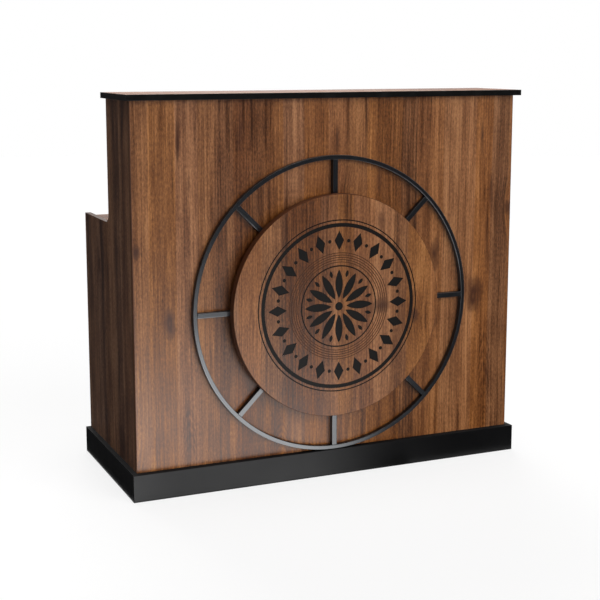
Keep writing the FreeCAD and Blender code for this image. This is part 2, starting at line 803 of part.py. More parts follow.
def make_lock():
    """Drawer lock: housing in the front, barrel with a key slot, tongue, and strike under the worktop."""
    x = pedestal_middle
    z = work_under - s.lock_drop
    inner_end = front_in - s.lock_inner_reach
    flange = rod("lock_flange", (x, front_out, z), "+y", s.lock_flange_radius, s.lock_flange_height)
    body_length = s.board + s.lock_inner_reach
    tube = rod("lock_tube", (x, inner_end, z), "+y", s.lock_body_radius, body_length)
    hole = rod("lock_core", (x, inner_end, z), "+y", s.lock_barrel_radius + s.bore_clearance,
               body_length + s.lock_flange_height)
    node("lock_housing", cut("lock_housing_bored", fuse("lock_housing_solid", [flange, tube]), [hole]))
    bore(["drawer_front"], rod("lock_hole", (x, front_in, z), "+y", s.lock_body_radius + s.bore_clearance,
                               s.board))
    barrel_in = inner_end - s.lock_clearance
    barrel_out = front_out + s.lock_flange_height + s.lock_barrel_proud
    barrel = rod("lock_barrel_blank", (x, barrel_in, z), "+y", s.lock_barrel_radius, barrel_out - barrel_in)
    slot = block("key_slot", (x - s.key_slot_width / 2, x + s.key_slot_width / 2),
                 (barrel_out - s.key_slot_depth, barrel_out),
                 (z - s.key_slot_height / 2, z + s.key_slot_height / 2))
    node("lock_barrel", cut("lock_barrel_slotted", barrel, [slot]))
    round_end = s.tongue_width / 2
    far = x + s.tongue_reach - round_end
    back = barrel_in - s.tongue_steel
    plate = block("tongue_plate", (x, far), (back, barrel_in), (z - round_end, z + round_end))
    heel = rod("tongue_heel", (x, back, z), "+y", round_end, s.tongue_steel)
    tip = rod("tongue_tip", (far, back, z), "+y", round_end, s.tongue_steel)
    node("lock_tongue", fuse("lock_tongue_plate", [plate, heel, tip]))
    strike_x = (x - s.strike_width / 2, x + s.strike_width / 2)
    strike_out = front_in - s.strike_gap
    stop = block("strike_stop", strike_x, (strike_out - s.strike_steel, strike_out),
                 (work_under - s.strike_height, work_under))
    tab = block("strike_tab_plate", strike_x, (strike_out - s.strike_tab, strike_out),
                (work_under - s.strike_steel, work_under))
    node("lock_strike", fuse("lock_strike_bracket", [stop, tab]))


def hinge_leaf(name, plate_x, low, spans):
    """One leaf of a butt hinge: a plate with knuckles on the given spans of its height."""
    plate_end = front_out - s.knuckle_gap
    high = low + s.hinge_height
    pieces = [block(name + "_plate", plate_x, (front_out - s.hinge_leaf, plate_end), (low, high))]
    for index, (bottom, top) in enumerate(spans):
        pieces.append(block(f"{name}_tab_{index}", plate_x, (plate_end, hinge_y), (bottom, top)))
        pieces.append(rod(f"{name}_knuckle_{index}", (hinge_x, hinge_y, bottom), "+z", s.knuckle_radius,
                          top - bottom))
    hole = rod(name + "_pin_hole", (hinge_x, hinge_y, low), "+z", s.hinge_pin_radius + s.bore_clearance,
               s.hinge_height)
    return cut(name + "_bored", fuse(name + "_solid", pieces), [hole])


def hinge_screws(name, leaf_face, direction, low, leaf_tools, board_label):
    """Countersunk screws through a hinge leaf into a board."""
    screws = []
    y = front_out - s.hinge_leaf / 2
    for index in range(HINGE_SCREWS):
        rise = s.hinge_screw_pitch * (index - (HINGE_SCREWS - 1) / 2)
        seat = (leaf_face, y, low + s.hinge_height / 2 + rise)
        label = f"{name}_{index}"
        under = step_along(seat, direction, s.hinge_steel)
        head = taper(label + "_head", seat, direction, s.hinge_screw_head, s.hinge_screw_radius,
                     s.hinge_steel)
        shank = rod(label + "_shank", under, direction, s.hinge_screw_radius, s.hinge_screw_length)
        screws.append(fuse(label, [head, shank]))
        spare = s.bore_clearance
        leaf_tools.append(taper(label + "_sink", seat, direction, s.hinge_screw_head + spare,
                                s.hinge_screw_radius + spare, s.hinge_steel))
        bore([board_label], rod(label + "_hole", under, direction, s.hinge_screw_radius + spare,
                                s.hinge_screw_length + s.tip_clearance))
    return screws


def make_hinges():
    """Two butt hinges between the left side panel and the door."""
    frame_x = (pedestal_left, pedestal_left + s.hinge_steel)
    door_x = (door_left - s.hinge_steel, door_left)
    parts = {"frame_leaf": [], "door_leaf": [], "pin": [], "frame_screw": [], "door_screw": []}
    upper = door_high - s.hinge_inset - s.hinge_height
    for level, low in (("low", door_low + s.hinge_inset), ("high", upper)):
        third = s.hinge_height / 3
        middle = (low + third, low + third * 2)
        outer = [(low, middle[0] - s.knuckle_gap), (middle[1] + s.knuckle_gap, low + s.hinge_height)]
        frame_tools = []
        door_tools = []
        parts["frame_screw"] += hinge_screws(f"hinge_frame_screw_{level}", frame_x[1], "-x", low, frame_tools,
                                             "side_left")
        parts["door_screw"] += hinge_screws(f"hinge_door_screw_{level}", door_x[0], "+x", low, door_tools,
                                            "cupboard_door")
        frame = hinge_leaf(f"hinge_frame_{level}", frame_x, low, outer)
        door = hinge_leaf(f"hinge_door_{level}", door_x, low, [middle])
        parts["frame_leaf"].append(cut(f"hinge_frame_{level}_sunk", frame, frame_tools))
        parts["door_leaf"].append(cut(f"hinge_door_{level}_sunk", door, door_tools))
        shaft = rod(f"hinge_pin_{level}_shaft", (hinge_x, hinge_y, low), "+z", s.hinge_pin_radius,
                    s.hinge_height)
        cap = rod(f"hinge_pin_{level}_cap", (hinge_x, hinge_y, low + s.hinge_height), "+z", s.hinge_pin_cap,
                  s.hinge_pin_cap_height)
        parts["pin"].append(fuse(f"hinge_pin_{level}", [shaft, cap]))
    node("hinge_frame_leaves", group("hinge_frame_leaf_group", parts["frame_leaf"]))
    node("hinge_door_leaves", group("hinge_door_leaf_group", parts["door_leaf"]))
    node("hinge_pins", group("hinge_pin_group", parts["pin"]))
    node("hinge_frame_screws", group("hinge_frame_screw_group", parts["frame_screw"]))
    node("hinge_door_screws", group("hinge_door_screw_group", parts["door_screw"]))


def make_door():
    """Cupboard door with handle, hinges and a magnetic catch under the deck."""
    board("cupboard_door", (door_left, door_right), (front_in, front_out), (door_low, door_high))
    handle = (door_right - s.door_handle_inset, front_out, door_high - s.door_handle_drop)
    make_handle("door_handle", handle, "z", front_in, "cupboard_door")
    make_hinges()
    width = (door_right - s.catch_inset - s.catch_width, door_right - s.catch_inset)
    plate_back = front_in - s.catch_plate
    magnet_face = plate_back - s.catch_gap
    height = (deck_under - s.catch_height, deck_under)
    board("door_catch", width, (magnet_face - s.catch_depth, magnet_face), height)
    board("catch_plate", width, (plate_back, front_in), (height[0], door_high))


def finish_nodes():
    """Cut each sub-part's bores and give it its label."""
    finished = {}
    for label, blank in blanks.items():
        item = cut(label, blank, bores[label]) if bores[label] else blank
        item.Label = label
        finished[label] = item
    return finished


def check_document(finished):
    """Stop if a feature failed or a sub-part is empty or not valid."""
    for item in doc.Objects:
        if "Invalid" in item.State or "Error" in item.State:
            raise RuntimeError(f"{item.Name} failed: {item.State}")
    for label, item in finished.items():
        shape = item.Shape
        if shape.isNull() or not shape.isValid() or not shape.Solids:
            raise RuntimeError(f"{label} has no valid solid")


make_plinth()
make_carcass()
make_counter()
make_shelves()
make_grommet()
make_emblem()
make_cam_joints()
make_runners()
make_drawer()
make_lock()
make_door()
nodes = finish_nodes()
doc.recompute()
check_document(nodes)
os.makedirs("parts", exist_ok=True)
for label, item in nodes.items():
    item.Shape.exportStep(f"parts/{label}.step")
print(len(nodes), "sub-parts written")
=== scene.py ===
import json
import math

import bmesh
import bpy
from bpy.props import FloatProperty, FloatVectorProperty, IntProperty, PointerProperty
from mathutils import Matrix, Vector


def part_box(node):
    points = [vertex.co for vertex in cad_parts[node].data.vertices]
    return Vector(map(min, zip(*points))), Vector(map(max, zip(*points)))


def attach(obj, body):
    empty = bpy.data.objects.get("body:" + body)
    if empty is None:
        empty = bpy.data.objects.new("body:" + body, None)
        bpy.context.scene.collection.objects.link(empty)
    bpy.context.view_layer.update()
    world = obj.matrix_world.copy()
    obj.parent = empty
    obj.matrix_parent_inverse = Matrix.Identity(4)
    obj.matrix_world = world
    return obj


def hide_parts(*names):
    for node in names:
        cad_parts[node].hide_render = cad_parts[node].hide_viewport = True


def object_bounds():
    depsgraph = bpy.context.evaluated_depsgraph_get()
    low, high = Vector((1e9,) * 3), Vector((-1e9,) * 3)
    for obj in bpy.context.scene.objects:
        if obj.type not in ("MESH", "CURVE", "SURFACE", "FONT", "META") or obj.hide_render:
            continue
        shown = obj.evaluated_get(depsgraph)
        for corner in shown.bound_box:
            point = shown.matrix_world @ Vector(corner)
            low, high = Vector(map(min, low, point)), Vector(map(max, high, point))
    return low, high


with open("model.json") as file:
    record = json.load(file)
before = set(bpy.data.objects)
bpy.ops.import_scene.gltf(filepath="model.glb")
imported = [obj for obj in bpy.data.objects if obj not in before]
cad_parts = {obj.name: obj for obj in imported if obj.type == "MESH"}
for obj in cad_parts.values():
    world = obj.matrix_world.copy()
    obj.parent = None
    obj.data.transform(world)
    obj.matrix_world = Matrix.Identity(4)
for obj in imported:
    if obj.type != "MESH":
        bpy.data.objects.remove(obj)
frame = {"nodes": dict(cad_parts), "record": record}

bl_info = {
    "name": "Reception desk finishes",
    "version": (1, 0, 0),
    "blender": (4, 5, 0),
    "location": "3D View > Sidebar > Desk",
    "description": "Finishes for the boards, steel, disc and fittings of the desk, and a studio",
    "category": "Object",
}

cad_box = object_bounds()

# CAD parts by the finish that the record gives them
parts_of = {}
for row in frame["record"]["subparts"]:
    parts_of.setdefault(row["material_slot"], []).append(row["node"])

# Walnut boards with grain along the desk; the others have upright grain
LYING_BOARDS = ("counter_top", "worktop", "worktop_band", "upper_shelf", "cupboard_shelf",
                "drawer_deck", "bottom_panel")
SIDE_BOARDS = ("side_left", "side_right")
BAND_STRIPS = ("front_bands",)
RING_PARTS = ("steel_ring", "ring_spokes")

# Knots and dark streaks, and last a broad faint darkening low at the left that is painted shade: place
# from the middle, height, half width, half height, strength
FRONT_MARKS = (
    (-0.485, 0.480, 0.020, 0.056, 1.00),
    (-0.577, 0.682, 0.012, 0.026, 1.00),
    (-0.455, 0.965, 0.007, 0.065, 1.00),
    (-0.425, 0.860, 0.006, 0.045, 0.60),
    (-0.277, 0.990, 0.012, 0.080, 0.50),
    (0.012, 0.965, 0.007, 0.050, 0.80),
    (0.145, 0.850, 0.008, 0.045, 0.60),
    (0.328, 0.625, 0.023, 0.060, 1.00),
    (0.320, 0.425, 0.018, 0.042, 0.80),
    (0.462, 0.488, 0.034, 0.072, 0.95),
    (0.483, 0.960, 0.007, 0.065, 1.00),
    (0.517, 0.800, 0.009, 0.090, 0.75),
    (0.508, 0.640, 0.009, 0.100, 0.65),
    (0.512, 0.250, 0.006, 0.022, 0.70),
    # Painted shade, not a knot: a broad faint darkening low at the left of the front
    (-0.525, 0.250, 0.100, 0.420, 0.20),
)
DISC_MARKS = (
    (0.135, 0.490, 0.038, 0.028, 0.90),
    (0.128, 0.735, 0.012, 0.030, 0.50),
)

# Flames of the grain in the front: place from the middle, height of the tip, half width, length
FRONT_FLAMES = (
    (-0.432, 0.273, 0.030, 0.200),
    (-0.160, 0.190, 0.030, 0.120),
    (0.505, 0.420, 0.032, 0.280),
    (0.510, 0.160, 0.020, 0.100),
)

# Broad dark and light bands along the grain: place from the middle, half width, how much lighter
FRONT_BANDS = (
    (-0.535, 0.070, 0.07),
    (-0.445, 0.035, -0.06),
    (-0.385, 0.070, -0.11),
    (-0.283, 0.115, -0.25),
    (-0.135, 0.060, 0.08),
    (-0.055, 0.070, 0.13),
    (0.000, 0.025, -0.07),
    (0.080, 0.045, 0.08),
    (0.170, 0.110, -0.18),
    (0.425, 0.075, 0.13),
    (0.515, 0.050, -0.10),
)
DISC_BANDS = (
    (-0.275, 0.060, 0.06),
    (-0.120, 0.145, -0.34),
    (0.140, 0.100, 0.11),
    (0.270, 0.080, 0.17),
)

# Ways that grain can run: the axis along it, two axes across it, and the facing that picks the second
GRAIN_AXES = {
    "upright": ("Z", "X", "Y", "X"),
    "lying": ("X", "Y", "Z", "Y"),
    "deep": ("Y", "X", "Z", "X"),
}

# How far noise, knots and marks turn the walnut's lines aside, in metres
GRAIN_DRIFT = 0.020
KNOT_SWERVE = 0.010
MARK_WAVE = 0.006

# Small knots: how much longer than wide their field is
KNOT_STRETCH = 1.9

# Marks: how uneven they are, where they fade, and how close and deep their faint rings are
MARK_RIPPLE = 1.4
MARK_FADE = (0.40, 1.10)
RING_RATE = 9
RING_DEPTH = 0.14

# Flames: how far their arches bow, how close the lines are and how much they darken
FLAME_BOW = 0.6
FLAME_RATE = 38
FLAME_DARKENING = 0.20

# Staves: how far they differ in hue and in strength of colour
STAVE_HUES = 0.004
STAVE_STRENGTHS = 0.10

# Walnut print: its middle tone on the ramp of colours, and how far its dullness varies
MIDDLE_TONE = 0.54
DULLNESS_SPAN = 0.05

# Plain colours as linear values
WHITE = (1, 1, 1, 1)
BLACK = (0, 0, 0, 1)
DUST_GREY = (0.05, 0.05, 0.05, 1)
FIBRE_BROWN = (0.06, 0.04, 0.025, 1)

# Mesh work: welding distance, what counts as sharp or as facing the front, and steps round curves
WELD_GAP = 0.00001
SHARP_ANGLE = math.radians(50)
FACING_FRONT = 0.99
EASE_STEPS = 2
LEAF_STEPS = 14
BEAD_STEPS = 20
EYE_STEPS = 40
FLOOR_STEPS = 96
HOOP_STEPS = 180

# How full a leaf is towards its ends, and how much less the ring's edges are eased than the boards'
LEAF_FULLNESS = 0.8
RING_EASE = 0.4

# Height of the cards over the floor, in metres
CARD_LIFT = 0.002


def linear(level):
    """Turn an 8-bit sRGB level into the linear value that a socket takes."""
    value = level / 255
    return value / 12.92 if value <= 0.04045 else ((value + 0.055) / 1.055) ** 2.4


def colour(name, description, *levels):
    """Make a colour property from 8-bit sRGB levels."""
    return FloatVectorProperty(name=name, description=description, subtype="COLOR", size=4, min=0, max=1,
                               default=(*map(linear, levels), 1))


def setting(kind, **fixed):
    """Make a function that makes properties of one kind."""
    def make(name, description, default, **options):
        return kind(name=name, description=description, default=default, **fixed, **options)
    return make


def radians(*degrees):
    """Turn degrees into the radians that a rotation takes."""
    return [math.radians(value) for value in degrees]


# Kinds of properties, with lengths and places in metres and angles in radians
number = setting(FloatProperty)
whole = setting(IntProperty)
share = setting(FloatProperty, subtype="FACTOR", min=0, max=1)
distance = setting(FloatProperty, unit="LENGTH", subtype="DISTANCE", min=0, precision=4)
opening = setting(FloatProperty, subtype="ANGLE")
rotation = setting(FloatVectorProperty, size=3, subtype="EULER", unit="ROTATION")
point = setting(FloatVectorProperty, size=3, subtype="XYZ", unit="LENGTH")
places = setting(FloatVectorProperty, size=2, unit="LENGTH")


class DeskWoods(bpy.types.PropertyGroup):
    """Colours and grain sizes of the walnut print, and colours of the other boards."""

    walnut_pale: colour("Walnut, palest", "Palest streaks of the print", 176, 121, 73)
    walnut_light: colour("Walnut, light", "Light bands of the print", 147, 95, 53)
    walnut_mid: colour("Walnut, middle", "Main tone of the print", 121, 75, 40)
    walnut_dark: colour("Walnut, dark", "Dark bands of the print", 92, 52, 24)
    walnut_heart: colour("Walnut, darkest", "Heart streaks and pores", 58, 31, 14)
    # Also tints the painted shade low at the front's left
    knot_and_shade_brown: colour("Knots", "Reddish brown of knots and thin dark streaks", 64, 32, 18)
    band_tone: colour("Panel band", "Tone of the bands on the front panel", 108, 71, 48)
    # Darker than the walnut face, partly as painted shade on the disc's edge
    edge_dark: colour("Disc edge", "Reddish stain on the disc's edge", 66, 36, 24)
    stave_width: distance("Stave width", "Usual width of one glued stave", 0.058)
    streak_width: distance("Streak width", "Usual width of a dark or light streak", 0.040)
    fibre_width: distance("Fibre width", "Usual width of one fibre line", 0.0052)
    knot_spacing: distance("Knot spacing", "Usual distance between small knots", 0.36)
    pale_light: colour("Drawer board, light", "Light bands of the drawer box", 222, 212, 194)
    pale_dark: colour("Drawer board, dark", "Dark bands of the drawer box", 190, 174, 148)
    chip_light: colour("Bare board, light", "Light chips of the pressed board", 190, 160, 118)
    chip_dark: colour("Bare board, dark", "Dark chips of the pressed board", 128, 97, 64)


class DeskDarks(bpy.types.PropertyGroup):
    """Colours of the black boards, steel, plastic and small metal parts, and the easing of edges."""

    plinth_black: colour("Plinth", "Satin black laminate of the plinth", 15, 15, 16)
    plinth_scuff: colour("Plinth scuffs", "Faint scuffs low on the plinth", 34, 34, 35)
    band_black: colour("Edge band", "Black edge band of the counter", 9, 9, 9)
    steel_black: colour("Black steel", "Black coat of ring, spokes and handles", 22, 23, 26)
    steel_sheen: colour("Steel sheen", "Cool sheen of the black steel", 228, 240, 255)
    plastic_black: colour("Plastic", "Moulded black plastic", 26, 26, 27)
    fill_black: colour("Pattern fill", "Black fill of the disc's engraving", 13, 11, 10)
    hatch_brown: colour("Fine lines", "Scorched brown of the finest engraved lines", 74, 47, 31)
    zinc_light: colour("Zinc, light", "Light flakes of the zinc plating", 200, 201, 198)
    zinc_dark: colour("Zinc, dark", "Dark flakes of the zinc plating", 158, 160, 160)
    nickel: colour("Nickel", "Polished nickel of the lock", 222, 218, 210)
    edge_ease: distance("Eased edges", "Rounding of the boards' sharp edges", 0.0005)


class DiscPattern(bpy.types.PropertyGroup):
    """Sizes of the ornament engraved in the disc."""

    depth: distance("Engraved depth", "Depth of the engraving", 0.001)
    fill_level: distance("Fill level", "How far the fills lie under the face", 0.0003)
    rim_radius: distance("Rim line radius", "Outer radius of the thin outer line", 0.246)
    rim_width: distance("Rim line width", "Width of the thin outer line", 0.0035)
    border_radius: distance("Border radius", "Outer radius of the thick border", 0.236)
    border_width: distance("Border width", "Width of the thick border", 0.011)
    lozenge_circle: distance("Lozenge circle", "Radius on which the lozenges stand", 0.187)
    lozenge_length: distance("Lozenge length", "Length of a lozenge along the radius", 0.056)
    lozenge_width: distance("Lozenge width", "Width of a lozenge", 0.03)
    lozenge_count: whole("Lozenges", "Lozenges round the disc", 20, min=4)
    bead_radius: distance("Bead radius", "Radius of the dots between the lozenges", 0.0052)
    hatch_outer: distance("Fine lines, outer", "Radius of the outermost fine line", 0.153)
    hatch_inner: distance("Fine lines, inner", "Radius of the innermost fine line", 0.127)
    hatch_count: whole("Fine lines", "Number of fine lines", 5, min=2)
    hatch_width: distance("Fine line width", "Width of one fine line", 0.0024)
    inner_radius: distance("Inner border radius", "Outer radius of the inner border", 0.117)
    inner_width: distance("Inner border width", "Width of the inner border", 0.004)
    petal_inner: distance("Petal foot", "Radius where the petals start", 0.023)
    petal_outer: distance("Petal tip", "Radius where the petals end", 0.105)
    petal_width: distance("Petal width", "Widest part of a petal", 0.023)
    petal_count: whole("Petals", "Petals of the rosette", 12, min=4)
    dart_inner: distance("Dart foot", "Radius where the darts between petals start", 0.084)
    dart_width: distance("Dart width", "Widest part of a dart", 0.01)
    eye_radius: distance("Eye radius", "Radius of the dot in the middle", 0.012)


class DeskStudio(bpy.types.PropertyGroup):
    """Camera, lamps, floor and the cards that gloss mirrors."""

    camera_place: point("Camera place", "Where the camera stands", (-1.5109, -3.4386, 1.1939))
    camera_turn: rotation("Camera turn", "How the camera is turned", radians(80.712, 0, -23.683))
    camera_lens: number("Lens", "Focal length in millimetres", 76.319)
    camera_shift: number("Vertical shift", "Lens shift as a share of the frame", -0.06)
    key_turn: rotation("Key turn", "How the key light is turned", radians(77, 0, 26))
    key_strength: number("Key strength", "Strength of the key light", 3.1)
    key_softness: opening("Key softness", "Angle that the key light fills", math.radians(64))
    light_softness: opening("Light softness", "Angle that each other light fills", math.radians(38))
    back_turn: rotation("Back light turn", "How the back light is turned", radians(-55, 0, -8))
    back_strength: number("Back light strength", "Strength of the back light", 1.8)
    top_strength: number("Top light strength", "Strength of the light overhead", 1.3)
    fill_strength: share("Fill strength", "Brightness of the light from all round", 0.12)
    floor_pale: colour("Floor", "Colour of the floor where it is seen", 250, 250, 250)
    floor_bounce: colour("Floor bounce", "Colour that the floor throws back", 98, 97, 96)
    floor_reach: distance("Floor reach", "Distance from the desk to the floor's edge", 12)
    shadow_share: share("Floor shadow", "How strongly the desk's shadow shows", 0.22)
    card_grey: colour("Dark cards", "Colour of the dark cards that gloss mirrors", 42, 42, 44)
    card_gap: distance("Dark card gap", "Distance from the desk to the front card", 3)
    card_reach: distance("Dark card reach", "Reach of the dark cards to each side", 4)
    card_height: distance("Dark card height", "Height of the standing dark cards", 4)
    card_slant: number("Card slant", "How far right the front cards' ends run per metre ahead", 0.5)
    floor_fade: places("Floor card fade", "Where the dark floor card starts and is full", (-0.10, 0.25))
    back_fade: places("Back card fade", "Where the dark back card ends and is full", (1.5, 0.4))
    bounce_glow: number("Pale card glow", "Brightness of the pale card on the floor", 2.95, min=0)
    bounce_low: places("Pale card corner", "Left end and front of the pale card", (-0.9, -2.9))
    bounce_high: places("Pale card far corner", "Right end and back of the pale card", (0.12, -0.25))
    bounce_slant: number("Pale card slant", "How far right its left end runs per metre ahead", 0.33)
    bounce_side: distance("Pale card side", "Width over which the pale card's right end fades", 0.40)
    bounce_fade: places("Pale card fade", "Where the pale card starts and glows fully", (-2.9, -0.9))
    rise_fade: places("Rise fade", "Where the pale card is brightest and is plain", (-0.82, -0.64))
    rise_left: number("Rise at the left", "Brightness of the pale card's brighter part", 1.52)
    rise_right: number("Rise at the right", "Brightness of the pale card's plain part", 0.92)


class DeskSettings(bpy.types.PropertyGroup):
    """All settings of the desk."""

    woods: PointerProperty(type=DeskWoods)
    darks: PointerProperty(type=DeskDarks)
    pattern: PointerProperty(type=DiscPattern)
    studio: PointerProperty(type=DeskStudio)


class Nodes:
    """A node tree under construction."""

    def __init__(self, tree):
        self.tree = tree

    def add(self, kind, inputs=None, **options):
        """Add a node, set its options, and set or link its inputs."""
        made = self.tree.nodes.new(kind)
        for option, value in options.items():
            setattr(made, option, value)
        self.feed(made, inputs or {})
        return made

    def feed(self, made, inputs):
        """Set or link a node's inputs by name or number."""
        for socket, value in inputs.items():
            if isinstance(value, bpy.types.NodeSocket):
                self.tree.links.new(value, made.inputs[socket])
            else:
                made.inputs[socket].default_value = value

    def math(self, operation, first, second=0, third=0):
        """One step of arithmetic."""
        inputs = {0: first, 1: second, 2: third}
        return self.add("ShaderNodeMath", inputs, operation=operation).outputs[0]

    def background_rays(self):
        """Rays that show the background as it is: straight to the camera, mirrored or through glass."""
        path = self.add("ShaderNodeLightPath").outputs
        rays = path["Is Camera Ray"]
        for kind in ("Is Glossy Ray", "Is Transmission Ray"):
            rays = self.math("MAXIMUM", rays, path[kind])
        return rays

    def show_mixed(self, amount, first, second, output):
        """Mix two shaders and send them to the named output."""
        both = self.add("ShaderNodeMixShader", {0: amount, 1: first.outputs[0], 2: second.outputs[0]})
        self.feed(self.tree.nodes[output], {"Surface": both.outputs[0]})


def arithmetic(operation):
    """Make a method that does one step of arithmetic."""
    return lambda self, *values: self.math(operation, *values)


class Finish(Nodes):
    """One material under construction: its shader and the nodes that feed it."""

    plus = arithmetic("ADD")
    less = arithmetic("SUBTRACT")
    times = arithmetic("MULTIPLY")
    over = arithmetic("DIVIDE")
    scaled = arithmetic("MULTIPLY_ADD")
    size = arithmetic("ABSOLUTE")

    def __init__(self, name):
        self.material = bpy.data.materials.new(name)
        self.material.use_nodes = True
        super().__init__(self.material.node_tree)
        self.shader = self.tree.nodes["Principled BSDF"]
        coordinates = self.add("ShaderNodeTexCoord").outputs
        self.place = coordinates["Object"]
        self.facing = coordinates["Normal"]

    def surface(self, **inputs):
        """Set or link the shader's own inputs, written with underscores for spaces."""
        self.feed(self.shader, {name.replace("_", " "): value for name, value in inputs.items()})

    def complete(self, tone, dullness, height, depth, strength, gloss=0.5, **others):
        """Set colour, dullness, fine relief, gloss and any other inputs, and give the material."""
        relief = self.add("ShaderNodeBump", {"Strength": strength, "Distance": depth, "Height": height})
        self.surface(Base_Color=tone, Roughness=dullness, Normal=relief.outputs[0],
                     Specular_IOR_Level=gloss, **others)
        return self.material

    def swing(self, value, width, middle=0):
        """Turn a value between none and all into one that swings about a middle."""
        return self.scaled(value, width, middle - width / 2)

    def wave(self, value, rate):
        """Sine of a value, with the given rate."""
        return self.math("SINE", self.times(value, rate))

    def reach(self, first, second):
        """Distance from nought of two values at right angles."""
        vector = self.vector(first, second, 0)
        return self.add("ShaderNodeVectorMath", {0: vector}, operation="LENGTH").outputs["Value"]

    def vector(self, x, y, z):
        """Put three values together."""
        return self.add("ShaderNodeCombineXYZ", {0: x, 1: y, 2: z}).outputs[0]

    def split(self, vector):
        """Take a vector apart."""
        parts = self.add("ShaderNodeSeparateXYZ", {0: vector}).outputs
        return {"X": parts[0], "Y": parts[1], "Z": parts[2]}

    def noise(self, vector, scale, detail, roughness=0.5):
        """Cloudy noise between none and all."""
        inputs = {"Vector": vector, "Scale": scale, "Detail": detail, "Roughness": roughness}
        return self.add("ShaderNodeTexNoise", inputs).outputs["Fac"]

    def cells(self, inputs, **options):
        """Outputs of a pattern of cells, each with its own colour."""
        return self.add("ShaderNodeTexVoronoi", inputs, **options).outputs

    def spread(self, value, known, wanted=(0, 1)):
        """Stretch a known range of values to the wanted one, clamped and eased at both ends."""
        inputs = dict(enumerate((value, *known, *wanted)))
        return self.add("ShaderNodeMapRange", inputs, interpolation_type="SMOOTHSTEP").outputs[0]

    def mix(self, amount, first, second):
        """Mix two colours."""
        return self.add("ShaderNodeMix", {0: amount, 6: first, 7: second}, data_type="RGBA").outputs[2]

    def ramp(self, value, stops):
        """Give a value the colours of a ramp."""
        made = self.add("ShaderNodeValToRGB", {0: value})
        elements = made.color_ramp.elements
        while len(elements) < len(stops):
            elements.new(0.5)
        for element, (position, tone) in zip(elements, stops):
            element.position = position
            element.color = tone
        return made.outputs[0]


class Grain:
    """Places across and along the grain of a finish, on whichever face is seen."""

    def __init__(self, finish, lay, offset=0):
        along_axis, first_axis, second_axis, facing_axis = GRAIN_AXES[lay]
        place = finish.split(finish.place)
        facing = finish.size(finish.split(finish.facing)[facing_axis])
        sideways = finish.math("GREATER_THAN", facing, 0.5)
        across = finish.add("ShaderNodeMix", {0: sideways, 2: place[first_axis], 3: place[second_axis]})
        self.finish = finish
        self.across = finish.plus(across.outputs[0], offset)
        self.along = finish.plus(place[along_axis], offset)

    def noise(self, width, length, detail, roughness=0.55):
        """Noise drawn out along the grain, by the usual width and length of one patch."""
        finish = self.finish
        place = finish.vector(finish.over(self.across, width), 0, finish.over(self.along, length))
        return finish.noise(place, 1, detail, roughness)


def small_knots(grain, spacing):
    """Cores and halos of small knots strewn over a board."""
    finish = grain.finish
    place = finish.vector(finish.over(grain.across, spacing),
                          finish.over(grain.along, spacing * KNOT_STRETCH), 0)
    reach = finish.cells({"Vector": place, "Scale": 1}, voronoi_dimensions="2D")["Distance"]
    core = finish.spread(reach, (0.010, 0.045), (0.8, 0))
    halo = finish.spread(reach, (0.015, 0.17), (1, 0))
    return core, halo


def knot_mark(finish, side, rise, ripple, strength):
    """One knot, dark streak or broad patch of painted shade with faint rings, from places that are one
    at its half sizes.
    """
    reach = finish.plus(finish.reach(side, rise), ripple)
    rings = finish.scaled(finish.wave(reach, RING_RATE), RING_DEPTH, 1 - RING_DEPTH)
    return finish.times(finish.spread(reach, MARK_FADE, (strength, 0)), rings)


def flame(finish, side, below):
    """Nested arches of the grain under a tip, as lines between none and all."""
    depth = finish.scaled(finish.times(side, side), -FLAME_BOW, below)
    lines = finish.scaled(finish.wave(depth, FLAME_RATE), 0.5, 0.5)
    inside = finish.spread(finish.size(side), (0.5, 1), (1, 0))
    inside = finish.times(inside, finish.spread(depth, (0, 0.12)))
    return finish.times(finish.times(inside, lines), finish.spread(below, (0.6, 1.1), (1, 0)))


